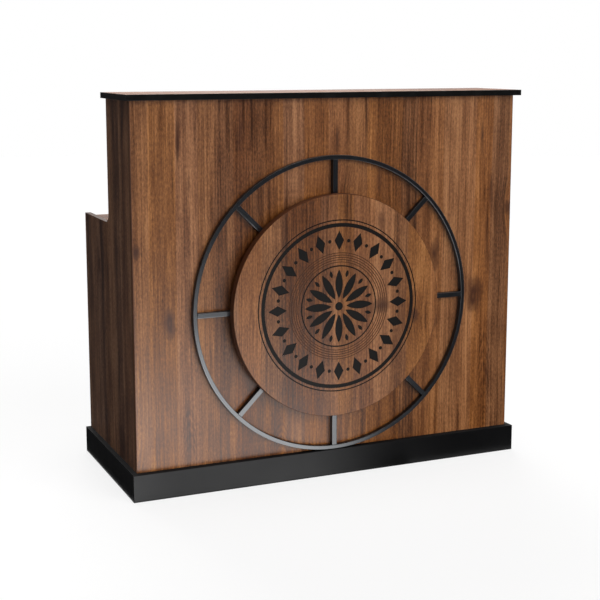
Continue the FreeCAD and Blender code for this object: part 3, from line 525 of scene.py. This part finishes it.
def walnut(name, woods, lay, offset, dullness=0.34, gloss=0.6, contrast=1, richness=1,
           bands=(), marks=(), flames=()):
    """Satin walnut print: glued staves, streaks, spindles, fibres, flecks, pores, flames and knots."""
    finish = Finish(name)
    grain = Grain(finish, lay, offset)
    straight = grain.across
    drift = grain.noise(width=0.24, length=0.7, detail=2)
    grain.across = finish.scaled(drift, GRAIN_DRIFT, straight)
    knots, halos = small_knots(grain, woods.knot_spacing)
    grain.across = finish.scaled(halos, KNOT_SWERVE, grain.across)

    stave_place = finish.over(grain.across, woods.stave_width)
    staves = finish.cells({"W": stave_place, "Scale": 1}, voronoi_dimensions="1D")
    stave = finish.split(staves["Color"])
    streak, fibre = woods.streak_width, woods.fibre_width
    streaks = grain.noise(width=streak, length=1.9, detail=6, roughness=0.66)
    zones = grain.noise(width=0.12, length=2.4, detail=2)
    blotches = grain.noise(width=streak, length=streak * 3, detail=3)
    spindles = finish.spread(grain.noise(width=0.019, length=0.30, detail=2), (0.60, 0.74))
    fibres = grain.noise(width=fibre, length=0.30, detail=3, roughness=0.6)
    flecks = grain.noise(width=fibre * 0.8, length=0.010, detail=2, roughness=0.6)
    pores = finish.spread(grain.noise(width=fibre * 0.5, length=0.030, detail=1), (0.60, 0.74))

    # Tone of the print; boards with bands of their own get less of the random zones
    tone = 0
    zone_share = 0.20 if bands else 0.75
    for layer, amount in ((streaks, 1.15), (zones, zone_share), (blotches, 0.50), (stave["X"], 0.20),
                          (fibres, 1.15), (flecks, 0.85)):
        tone = finish.plus(tone, finish.swing(layer, amount))
    for layer, darkening in ((spindles, 0.24), (halos, 0.16), (pores, 0.16)):
        tone = finish.scaled(layer, -darkening, tone)

    # Bands, flames and marks at places of their own, on slightly wavy lines
    wavy = finish.scaled(blotches, MARK_WAVE, finish.less(straight, MARK_WAVE / 2))
    ripple = finish.swing(blotches, MARK_RIPPLE)
    for place, half_width, lightening in bands:
        aside = finish.size(finish.less(wavy, place + offset))
        tone = finish.plus(tone, finish.spread(aside, (0, half_width), (lightening, 0)))
    for place, tip, half_width, length in flames:
        side = finish.over(finish.less(wavy, place + offset), half_width)
        below = finish.over(finish.less(tip + offset, grain.along), length)
        tone = finish.scaled(flame(finish, side, below), -FLAME_DARKENING, tone)
    # Marks are knots and dark streaks; the front's last mark is painted shade
    for place, height, half_width, half_height, strength in marks:
        side = finish.over(finish.less(wavy, place + offset), half_width)
        rise = finish.over(finish.less(grain.along, height + offset), half_height)
        knots = finish.math("MAXIMUM", knots, knot_mark(finish, side, rise, ripple, strength))

    wood = finish.ramp(finish.scaled(tone, contrast, MIDDLE_TONE), (
        (0.06, woods.walnut_heart), (0.28, woods.walnut_dark), (0.50, woods.walnut_mid),
        (0.70, woods.walnut_light), (0.94, woods.walnut_pale),
    ))
    hue = finish.swing(stave["Y"], STAVE_HUES, 0.5)
    strength = finish.swing(stave["Z"], STAVE_STRENGTHS * richness, richness)
    wood = finish.add("ShaderNodeHueSaturation", {"Hue": hue, "Saturation": strength, "Color": wood})
    tone = finish.mix(knots, wood.outputs[0], woods.knot_and_shade_brown)
    dulls = (dullness - DULLNESS_SPAN, dullness + DULLNESS_SPAN)
    dullness = finish.spread(fibres, (0.25, 0.75), dulls)
    return finish.complete(tone, dullness, finish.less(fibres, pores), depth=0.00025, strength=0.25,
                           gloss=gloss)


def band_strip(woods):
    """Thin plastic band on the front panel's upright edges, printed in a plain walnut tone."""
    finish = Finish("band_strip")
    grain = Grain(finish, "upright")
    fibres = grain.noise(width=0.0008, length=0.06, detail=3, roughness=0.6)
    patches = grain.noise(width=0.004, length=0.4, detail=2)
    tone = finish.scaled(fibres, 0.5, finish.times(patches, 0.5))
    wood = finish.ramp(tone, ((0.3, woods.walnut_dark), (0.7, woods.band_tone)))
    dullness = finish.spread(fibres, (0.2, 0.8), (0.34, 0.46))
    return finish.complete(wood, dullness, fibres, depth=0.0001, strength=0.2)


def disc_edge(woods):
    """Reddish brown edge of the disc, darker than its face; the darkness is partly painted shade."""
    finish = Finish("disc_edge")
    fibres = finish.noise(finish.place, scale=300, detail=3, roughness=0.6)
    stain = finish.ramp(fibres, ((0.25, woods.edge_dark), (0.80, woods.walnut_dark)))
    dullness = finish.spread(fibres, (0.2, 0.8), (0.5, 0.65))
    return finish.complete(stain, dullness, fibres, depth=0.0001, strength=0.3, gloss=0.2)


def pale_board(woods):
    """Pale laminate of the drawer box, with soft grain along the drawer's depth."""
    finish = Finish("pale_drawer_board")
    grain = Grain(finish, "deep")
    bands = grain.noise(width=0.02, length=0.8, detail=4, roughness=0.6)
    fibres = grain.noise(width=woods.fibre_width, length=0.12, detail=2)
    tone = finish.scaled(fibres, 0.35, finish.times(bands, 0.75))
    wood = finish.ramp(tone, ((0.3, woods.pale_dark), (0.75, woods.pale_light)))
    dullness = finish.spread(fibres, (0.2, 0.8), (0.42, 0.55))
    return finish.complete(wood, dullness, fibres, depth=0.0002, strength=0.2)


def bare_board(woods):
    """Bare pressed board with small chips."""
    finish = Finish("bare_board")
    chips = finish.cells({"Vector": finish.place, "Scale": 260})
    tone = finish.split(chips["Color"])["X"]
    board = finish.ramp(tone, ((0.1, woods.chip_dark), (0.9, woods.chip_light)))
    dullness = finish.spread(tone, (0, 1), (0.7, 0.9))
    return finish.complete(board, dullness, chips["Distance"], depth=0.0006, strength=0.5)


def plinth_laminate(darks):
    """Satin black laminate with a fine pearl texture, matt upper edges and faint scuffs low down."""
    finish = Finish("plinth_laminate")
    pearl = finish.noise(finish.place, scale=1400, detail=1)
    clouds = finish.noise(finish.place, scale=9, detail=4, roughness=0.6)
    flattened = finish.add("ShaderNodeVectorMath", {0: finish.place, 1: (7, 7, 190)},
                           operation="MULTIPLY").outputs[0]
    scuffs = finish.spread(finish.noise(flattened, scale=1, detail=3, roughness=0.7), (0.60, 0.74))
    low = finish.spread(finish.split(finish.place)["Z"], (0, 0.06), (1, 0.1))
    amount = finish.times(finish.times(scuffs, low), 0.5)
    upward = finish.spread(finish.split(finish.facing)["Z"], (0.5, 0.9), (0, 0.5))
    dullness = finish.plus(finish.spread(clouds, (0.3, 0.7), (0.36, 0.46)), upward)
    tone = finish.mix(amount, darks.plinth_black, darks.plinth_scuff)
    return finish.complete(tone, dullness, pearl, depth=0.00006, strength=0.35, gloss=0.23)


def fine_black(name, base, grain, dullness, depth, gloss):
    """Black moulded or banded plastic with a fine, even texture."""
    finish = Finish(name)
    texture = finish.noise(finish.place, scale=grain, detail=2, roughness=0.6)
    patches = finish.noise(finish.place, scale=24, detail=3)
    dusty = finish.mix(finish.spread(patches, (0.45, 0.8), (0, 0.12)), base, DUST_GREY)
    dullness = finish.spread(texture, (0.3, 0.7), dullness)
    return finish.complete(dusty, dullness, texture, depth, strength=0.4, gloss=gloss)


def black_steel(name, darks, gloss, coat):
    """Sprayed black steel with a slight orange peel, and a clear coat on faces to the front or back."""
    finish = Finish(name)
    peel = finish.noise(finish.place, scale=420, detail=2)
    haze = finish.noise(finish.place, scale=14, detail=3)
    tone = finish.mix(finish.spread(haze, (0.3, 0.8), (0, 0.5)), darks.steel_black, darks.band_black)
    dullness = finish.spread(peel, (0.25, 0.75), (0.28, 0.38))
    if coat:
        facing = finish.size(finish.split(finish.facing)["Y"])
        finish.surface(Coat_Weight=finish.spread(facing, (0.5, 0.9), (0, coat)))
    return finish.complete(tone, dullness, peel, depth=0.00004, strength=0.12, gloss=gloss,
                           Specular_Tint=darks.steel_sheen, Coat_Roughness=0.18, Coat_IOR=1.9)


def zinc_plate(darks):
    """Zinc plated steel with faint flakes and rubbed patches."""
    finish = Finish("zinc_plate")
    flakes = finish.cells({"Vector": finish.place, "Scale": 330})
    rubbed = finish.noise(finish.place, scale=45, detail=4, roughness=0.65)
    tone = finish.mix(finish.split(flakes["Color"])["Y"], darks.zinc_dark, darks.zinc_light)
    dullness = finish.spread(rubbed, (0.3, 0.75), (0.26, 0.46))
    return finish.complete(tone, dullness, rubbed, depth=0.00008, strength=0.25, Metallic=1)


def lock_nickel(darks):
    """Polished nickel with fine turning marks."""
    finish = Finish("lock_nickel")
    marks = finish.noise(finish.place, scale=1900, detail=1)
    wear = finish.noise(finish.place, scale=120, detail=3)
    tone = finish.mix(finish.spread(wear, (0.4, 0.8), (0, 0.35)), darks.nickel, darks.zinc_dark)
    dullness = finish.spread(wear, (0.3, 0.8), (0.10, 0.24))
    return finish.complete(tone, dullness, marks, depth=0.00002, strength=0.3, Metallic=1)


def engraving_fill(name, base):
    """Fill of the engraving, through which a little of the wood's fibre still shows."""
    finish = Finish(name)
    fibres = Grain(finish, "upright").noise(width=0.003, length=0.09, detail=3, roughness=0.6)
    tone = finish.mix(finish.spread(fibres, (0.5, 0.85), (0, 0.16)), base, FIBRE_BROWN)
    dullness = finish.spread(fibres, (0.2, 0.8), (0.45, 0.62))
    return finish.complete(tone, dullness, fibres, depth=0.0002, strength=0.3, gloss=0.22)


def dress(names, material):
    """Give CAD parts a finish."""
    for name in names:
        slots = frame["nodes"][name].material_slots
        if not slots:
            raise RuntimeError(f"{name} has no place for a finish")
        for slot in slots:
            slot.material = material


def ease_edges(names, width):
    """Round the sharp edges of CAD parts a little, so that they catch the light."""
    for name in names:
        modifiers = frame["nodes"][name].modifiers
        weld = modifiers.new("weld", "WELD")
        weld.merge_threshold = WELD_GAP
        bevel = modifiers.new("eased edges", "BEVEL")
        bevel.width = width
        bevel.segments = EASE_STEPS
        bevel.limit_method = "ANGLE"
        bevel.angle_limit = SHARP_ANGLE
        bevel.harden_normals = True


def circle_points(radius, steps, middle=(0, 0)):
    """Points of a circle, counter-clockwise."""
    u, v = middle
    turns = (2 * math.pi * step / steps for step in range(steps))
    return [(u + radius * math.cos(turn), v + radius * math.sin(turn)) for turn in turns]


def turned(points, angle):
    """Turn points about the middle."""
    cosine, sine = math.cos(angle), math.sin(angle)
    return [(u * cosine - v * sine, u * sine + v * cosine) for u, v in points]


def leaf_points(foot, tip, width):
    """A slender leaf along the first axis with two equal bowed sides."""
    side = []
    for step in range(LEAF_STEPS + 1):
        along = step / LEAF_STEPS
        bow = math.sin(math.pi * along) ** LEAF_FULLNESS
        side.append((foot + (tip - foot) * along, width / 2 * bow))
    return [(u, -v) for u, v in side[:-1]] + [(u, v) for u, v in reversed(side[1:])]


def lozenge_points(middle, length, width):
    """A lozenge along the first axis."""
    half, side = length / 2, width / 2
    return [(middle - half, 0), (middle, -side), (middle + half, 0), (middle, side)]


def around(count, points, start=0):
    """Repeat an outline round the middle, starting a share of a step on."""
    return [turned(points, 2 * math.pi * (index + start) / count) for index in range(count)]


def ornament_shapes(pattern):
    """Outlines of the black ornament: bare outlines, and pairs of radii for rings."""
    lozenge = lozenge_points(pattern.lozenge_circle, pattern.lozenge_length, pattern.lozenge_width)
    bead = circle_points(pattern.bead_radius, BEAD_STEPS, (pattern.lozenge_circle, 0))
    petal = leaf_points(pattern.petal_inner, pattern.petal_outer, pattern.petal_width)
    dart = leaf_points(pattern.dart_inner, pattern.petal_outer, pattern.dart_width)
    outlines = [
        *around(pattern.lozenge_count, lozenge),
        *around(pattern.lozenge_count, bead, start=0.5),
        *around(pattern.petal_count, petal),
        *around(pattern.petal_count, dart, start=0.5),
        circle_points(pattern.eye_radius, EYE_STEPS),
    ]
    borders = ((pattern.rim_radius, pattern.rim_width), (pattern.border_radius, pattern.border_width),
               (pattern.inner_radius, pattern.inner_width))
    return outlines, [(radius - width, radius) for radius, width in borders]


def hatch_rings(pattern):
    """Radii of the fine engraved lines."""
    step = (pattern.hatch_outer - pattern.hatch_inner) / (pattern.hatch_count - 1)
    outers = (pattern.hatch_outer - step * index for index in range(pattern.hatch_count))
    return [(outer - pattern.hatch_width, outer) for outer in outers]


class DiscFace:
    """Middle and front of the disc, from its CAD part."""

    def __init__(self):
        low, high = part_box("emblem_disc")
        self.x = (low.x + high.x) / 2
        self.z = (low.z + high.z) / 2
        self.front = low.y

    def reach(self, place):
        """Distance of a place from the disc's middle."""
        return math.hypot(place[0] - self.x, place[2] - self.z)

    def corner(self, mesh, point, depth):
        """Add a point of the disc's face at a depth behind its front."""
        return mesh.verts.new((self.x + point[0], self.front + depth, self.z + point[1]))


def join_loops(mesh, first, second):
    """Close the strip between two loops of as many points."""
    for index in range(len(first)):
        after = (index + 1) % len(first)
        mesh.faces.new((first[after], first[index], second[index], second[after]))


def add_prism(mesh, face, outline, shallow, deep):
    """Raise an outline on the disc's face between two depths."""
    near = [face.corner(mesh, point, shallow) for point in outline]
    far = [face.corner(mesh, point, deep) for point in outline]
    mesh.faces.new(near)
    mesh.faces.new(list(reversed(far)))
    join_loops(mesh, near, far)


def add_hoop(mesh, face, inner, outer, shallow, deep):
    """Raise a flat ring on the disc's face between two depths."""
    loops = [[face.corner(mesh, point, depth) for point in circle_points(radius, HOOP_STEPS)]
             for radius, depth in ((outer, shallow), (outer, deep), (inner, deep), (inner, shallow))]
    for first, second in zip(loops, loops[1:] + loops[:1]):
        join_loops(mesh, first, second)


def placed(name, data):
    """Put an object with the given data into the scene."""
    piece = bpy.data.objects.new(name, data)
    bpy.context.scene.collection.objects.link(piece)
    return piece


def mesh_piece(name, mesh):
    """Turn a finished mesh into an object in the scene."""
    data = bpy.data.meshes.new(name)
    mesh.to_mesh(data)
    mesh.free()
    return placed(name, data)


def engraving(name, face, outlines, rings, shallow, deep):
    """Make one object of all the given outlines and rings."""
    mesh = bmesh.new()
    for outline in outlines:
        add_prism(mesh, face, outline, shallow, deep)
    for inner, outer in rings:
        add_hoop(mesh, face, inner, outer, shallow, deep)
    bmesh.ops.recalc_face_normals(mesh, faces=mesh.faces)
    return mesh_piece(name, mesh)


def welded_copy(name, part):
    """Copy a CAD part into a new object whose faces are joined along their edges."""
    mesh = bmesh.new()
    mesh.from_mesh(part.data)
    bmesh.ops.remove_doubles(mesh, verts=mesh.verts, dist=WELD_GAP)
    return mesh_piece(name, mesh)


def carve(piece, cutter):
    """Cut one object out of another and delete the cutter."""
    cut = piece.modifiers.new("carve", "BOOLEAN")
    cut.operation = "DIFFERENCE"
    cut.solver = "EXACT"
    cut.object = cutter
    graph = bpy.context.evaluated_depsgraph_get()
    carved = bpy.data.meshes.new_from_object(piece.evaluated_get(graph))
    piece.modifiers.remove(cut)
    piece.data = carved
    bpy.data.objects.remove(cutter)


def settings(context):
    """The desk's settings."""
    return context.scene.reception_desk


class DESK_OT_walnut_boards(bpy.types.Operator):
    """Finish the walnut boards and ease their edges"""

    bl_idname = "desk.walnut_boards"
    bl_label = "Walnut boards"

    def execute(self, context):
        desk = settings(context)
        woods = desk.woods
        boards = parts_of["walnut_laminate"]
        dress(boards, walnut("walnut_upright", woods, "upright", offset=2.2))
        dress(("front_panel",), walnut("walnut_front", woods, "upright", offset=0, bands=FRONT_BANDS,
                                       marks=FRONT_MARKS, flames=FRONT_FLAMES))
        # Painted shade: the side boards get a shaded copy of the walnut, with less colour and more
        # contrast
        dress(SIDE_BOARDS, walnut("walnut_side_shaded", woods, "upright", offset=6.4, contrast=1.6,
                                  richness=0.84))
        dress(LYING_BOARDS, walnut("walnut_lying", woods, "lying", offset=3.7, dullness=0.55,
                                   gloss=0.25))
        dress(BAND_STRIPS, band_strip(woods))
        ease_edges([name for name in boards if name not in BAND_STRIPS], desk.darks.edge_ease)
        return {"FINISHED"}


class DESK_OT_plinth(bpy.types.Operator):
    """Finish the black plinth boards and the bare boards inside it"""

    bl_idname = "desk.plinth"
    bl_label = "Plinth"

    def execute(self, context):
        desk = settings(context)
        dress(parts_of["black_laminate"], plinth_laminate(desk.darks))
        dress(parts_of["raw_board"], bare_board(desk.woods))
        return {"FINISHED"}


class DESK_OT_counter_bands(bpy.types.Operator):
    """Finish the black bands round the counter"""

    bl_idname = "desk.counter_bands"
    bl_label = "Counter bands"

    def execute(self, context):
        darks = settings(context).darks
        band = fine_black("edge_band", darks.band_black, grain=900, dullness=(0.36, 0.46),
                          depth=0.00005, gloss=0.24)
        dress(parts_of["black_edge_band"], band)
        return {"FINISHED"}


class DESK_OT_steelwork(bpy.types.Operator):
    """Finish the steel ring, its spokes and the handles"""

    bl_idname = "desk.steelwork"
    bl_label = "Ring, spokes and handles"

    def execute(self, context):
        darks = settings(context).darks
        dress(RING_PARTS, black_steel("gloss_black_steel", darks, gloss=0.5, coat=1))
        handles = [name for name in parts_of["black_steel"] if name not in RING_PARTS]
        dress(handles, black_steel("satin_black_steel", darks, gloss=0.4, coat=0))
        ease_edges(RING_PARTS, darks.edge_ease * RING_EASE)
        return {"FINISHED"}


class DESK_OT_engraved_disc(bpy.types.Operator):
    """Engrave the wooden disc with a rosette in borders, and fill the engraving"""

    bl_idname = "desk.engraved_disc"
    bl_label = "Engraved disc"

    def execute(self, context):
        desk = settings(context)
        pattern = desk.pattern
        face = DiscFace()
        outlines, rings = ornament_shapes(pattern)
        hatch = hatch_rings(pattern)

        disc = welded_copy("engraved_disc", frame["nodes"]["emblem_disc"])
        depth = pattern.depth
        carve(disc, engraving("engraving_tool", face, outlines, rings + hatch, -depth, depth))
        materials = disc.data.materials
        materials.clear()
        materials.append(walnut("walnut_disc", desk.woods, "upright", offset=5.1, bands=DISC_BANDS,
                                marks=DISC_MARKS))
        # The rim's finish is darker than the face, partly painted shade
        materials.append(disc_edge(desk.woods))
        for side in disc.data.polygons:
            side.use_smooth = abs(side.normal.y) < FACING_FRONT
            side.material_index = int(side.use_smooth and face.reach(side.center) > pattern.rim_radius)
        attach(disc, "desk")
        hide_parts("emblem_disc")

        fills = (
            ("ornament_fill", outlines, rings, engraving_fill("ornament_black", desk.darks.fill_black)),
            ("fine_line_fill", [], hatch, engraving_fill("fine_line_brown", desk.darks.hatch_brown)),
        )
        for name, shapes, hoops, material in fills:
            fill = engraving(name, face, shapes, hoops, pattern.fill_level, depth)
            fill.data.materials.append(material)
            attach(fill, "desk")
        return {"FINISHED"}


class DESK_OT_drawer_box(bpy.types.Operator):
    """Finish the pale boards of the drawer box"""

    bl_idname = "desk.drawer_box"
    bl_label = "Drawer box"

    def execute(self, context):
        desk = settings(context)
        boards = parts_of["pale_drawer_board"]
        dress(boards, pale_board(desk.woods))
        ease_edges(boards, desk.darks.edge_ease)
        return {"FINISHED"}


class DESK_OT_fittings(bpy.types.Operator):
    """Finish the runners, hinges, screws, lock, cable grommet and catch"""

    bl_idname = "desk.fittings"
    bl_label = "Fittings"

    def execute(self, context):
        darks = settings(context).darks
        dress(parts_of["zinc_steel"], zinc_plate(darks))
        dress(parts_of["polished_lock"], lock_nickel(darks))
        plastic = fine_black("moulded_plastic", darks.plastic_black, grain=2200,
                             dullness=(0.42, 0.58), depth=0.0001, gloss=0.5)
        dress(parts_of["black_plastic"], plastic)
        return {"FINISHED"}


def stage_piece(name, corners, material):
    """Make one flat stage piece, which isn't part of the desk."""
    data = bpy.data.meshes.new(name)
    data.from_pydata(corners, [], [range(len(corners))])
    data.materials.append(material)
    piece = placed(name, data)
    return piece


def standing_card(left, right, y, height):
    """Corners of an upright card across the desk's front or back."""
    return ((left, y, 0), (right, y, 0), (right, y, height), (left, y, height))


def lying_card(low, high, lift, left_slant=0, right_slant=0):
    """Corners of a card that lies on the floor, with its ends run to the right towards the front."""
    ends = ((low[0], left_slant, low[1]), (high[0], right_slant, low[1]),
            (high[0], right_slant, high[1]), (low[0], left_slant, high[1]))
    return [(end - slant * ahead, ahead, lift) for end, slant, ahead in ends]


def slanted_place(finish, slant):
    """Place along the desk, measured under its middle for cards with slanted ends."""
    place = finish.split(finish.place)
    return finish.scaled(place["Y"], slant, place["X"])


class DESK_OT_studio(bpy.types.Operator):
    """Set up the floor, the light and the camera"""

    bl_idname = "desk.studio"
    bl_label = "Studio"

    def execute(self, context):
        scene = context.scene
        studio = settings(context).studio
        scene.view_settings.view_transform = "Standard"
        self.floor(studio)
        self.cards(studio)
        self.surroundings(scene, studio)
        key = self.soft_light("key", studio.key_turn, studio.key_strength, studio.key_softness)
        key.visible_glossy = False
        self.soft_light("back_light", studio.back_turn, studio.back_strength, studio.light_softness)
        self.soft_light("top_light", (0, 0, 0), studio.top_strength, studio.light_softness)
        self.camera(scene, studio)
        return {"FINISHED"}

    def floor(self, studio):
        """Pale floor all round the desk, which keeps a faint shadow."""
        finish = Finish("pale_floor")
        rays = finish.background_rays()
        tone = finish.mix(rays, studio.floor_bounce, studio.floor_pale)
        finish.surface(Base_Color=tone, Roughness=0.9, Specular_IOR_Level=0)
        glow = finish.add("ShaderNodeEmission", {"Color": WHITE, "Strength": 1})
        amount = finish.times(rays, 1 - studio.shadow_share)
        finish.show_mixed(amount, finish.shader, glow, "Material Output")
        corners = [(u, v, 0) for u, v in circle_points(studio.floor_reach, FLOOR_STEPS)]
        stage_piece("floor", corners, finish.material)

    def cards(self, studio):
        """Cards seen only in gloss: dark ones keep the steel black, and a pale one gives it sheen."""
        low, high = cad_box
        left, right = low.x - studio.card_reach, high.x + studio.card_reach
        front, back = low.y - studio.card_gap, high.y + studio.card_reach
        slant = studio.card_slant
        plain = self.dark_card(studio, "dark_card")
        cards = (
            ("front_card", plain, standing_card(left, right, front, studio.card_height)),
            ("back_card", self.dark_card(studio, "back_card", studio.back_fade),
             standing_card(left, studio.back_fade[0], back, studio.card_height)),
            ("right_card", self.dark_card(studio, "floor_card", studio.floor_fade, slant),
             lying_card((studio.floor_fade[0], front), (right, low.y), CARD_LIFT, slant)),
            ("left_card", plain, lying_card((left, low.y), (low.x - CARD_LIFT, back), CARD_LIFT)),
            ("bounce_card", self.pale_card(studio),
             lying_card(studio.bounce_low, studio.bounce_high, CARD_LIFT / 2, studio.bounce_slant,
                        slant)),
        )
        for name, material, corners in cards:
            card = stage_piece(name, corners, material)
            card.visible_camera = card.visible_diffuse = card.visible_shadow = False

    def dark_card(self, studio, name, fade=None, slant=0):
        """Finish of a dark card, which fades out to one side where a fade is given."""
        finish = Finish(name)
        finish.surface(Base_Color=studio.card_grey, Roughness=1, Specular_IOR_Level=0)
        if fade:
            finish.surface(Alpha=finish.spread(slanted_place(finish, slant), fade))
        return finish.material

    def pale_card(self, studio):
        """Finish of the glowing card, brightest at the left, which fades to the front and right."""
        finish = Finish("pale_card")
        across = slanted_place(finish, studio.card_slant)
        ahead = finish.split(finish.place)["Y"]
        end = studio.bounce_high[0]
        glow = finish.times(finish.spread(ahead, studio.bounce_fade, (0, studio.bounce_glow)),
                            finish.spread(across, (end - studio.bounce_side, end), (1, 0)))
        rise = finish.spread(across, studio.rise_fade, (studio.rise_left, studio.rise_right))
        finish.surface(Base_Color=BLACK, Emission_Color=WHITE,
                       Emission_Strength=finish.times(glow, rise))
        return finish.material

    def surroundings(self, scene, studio):
        """Pale background with a softer light from all round."""
        world = bpy.data.worlds.new("studio")
        world.use_nodes = True
        nodes = Nodes(world.node_tree)
        fill = nodes.tree.nodes["Background"]
        nodes.feed(fill, {"Color": WHITE, "Strength": studio.fill_strength})
        pale = nodes.add("ShaderNodeBackground", {"Color": WHITE, "Strength": 1})
        nodes.show_mixed(nodes.background_rays(), fill, pale, "World Output")
        scene.world = world

    def soft_light(self, name, turn, strength, softness):
        """One large soft light."""
        lamp = bpy.data.lights.new(name, "SUN")
        lamp.energy = strength
        lamp.angle = softness
        light = placed(name, lamp)
        light.rotation_euler = turn
        return light

    def camera(self, scene, studio):
        """Camera in front, to the left and a little above the counter."""
        lens = bpy.data.cameras.new("camera")
        lens.lens = studio.camera_lens
        lens.shift_y = studio.camera_shift
        camera = placed("camera", lens)
        camera.location = studio.camera_place
        camera.rotation_euler = studio.camera_turn
        scene.camera = camera


STEPS = (DESK_OT_walnut_boards, DESK_OT_plinth, DESK_OT_counter_bands, DESK_OT_steelwork,
         DESK_OT_engraved_disc, DESK_OT_drawer_box, DESK_OT_fittings, DESK_OT_studio)


class DESK_PT_sidebar(bpy.types.Panel):
    """Lists the steps that finish the desk"""

    bl_idname = "DESK_PT_sidebar"
    bl_label = "Reception desk"
    bl_space_type = "VIEW_3D"
    bl_region_type = "UI"
    bl_category = "Desk"

    def draw(self, context):
        for step in STEPS:
            self.layout.operator(step.bl_idname)


CLASSES = (DeskWoods, DeskDarks, DiscPattern, DeskStudio, DeskSettings) + STEPS + (DESK_PT_sidebar,)


def register():
    for item in CLASSES:
        bpy.utils.register_class(item)
    bpy.types.Scene.reception_desk = PointerProperty(type=DeskSettings)


def unregister():
    del bpy.types.Scene.reception_desk
    for item in reversed(CLASSES):
        bpy.utils.unregister_class(item)


def main():
    """Finish the desk and set up the studio."""
    register()
    bpy.ops.desk.walnut_boards()
    bpy.ops.desk.plinth()
    bpy.ops.desk.counter_bands()
    bpy.ops.desk.steelwork()
    bpy.ops.desk.engraved_disc()
    bpy.ops.desk.drawer_box()
    bpy.ops.desk.fittings()
    bpy.ops.desk.studio()


if __name__ == "__main__":
    main()
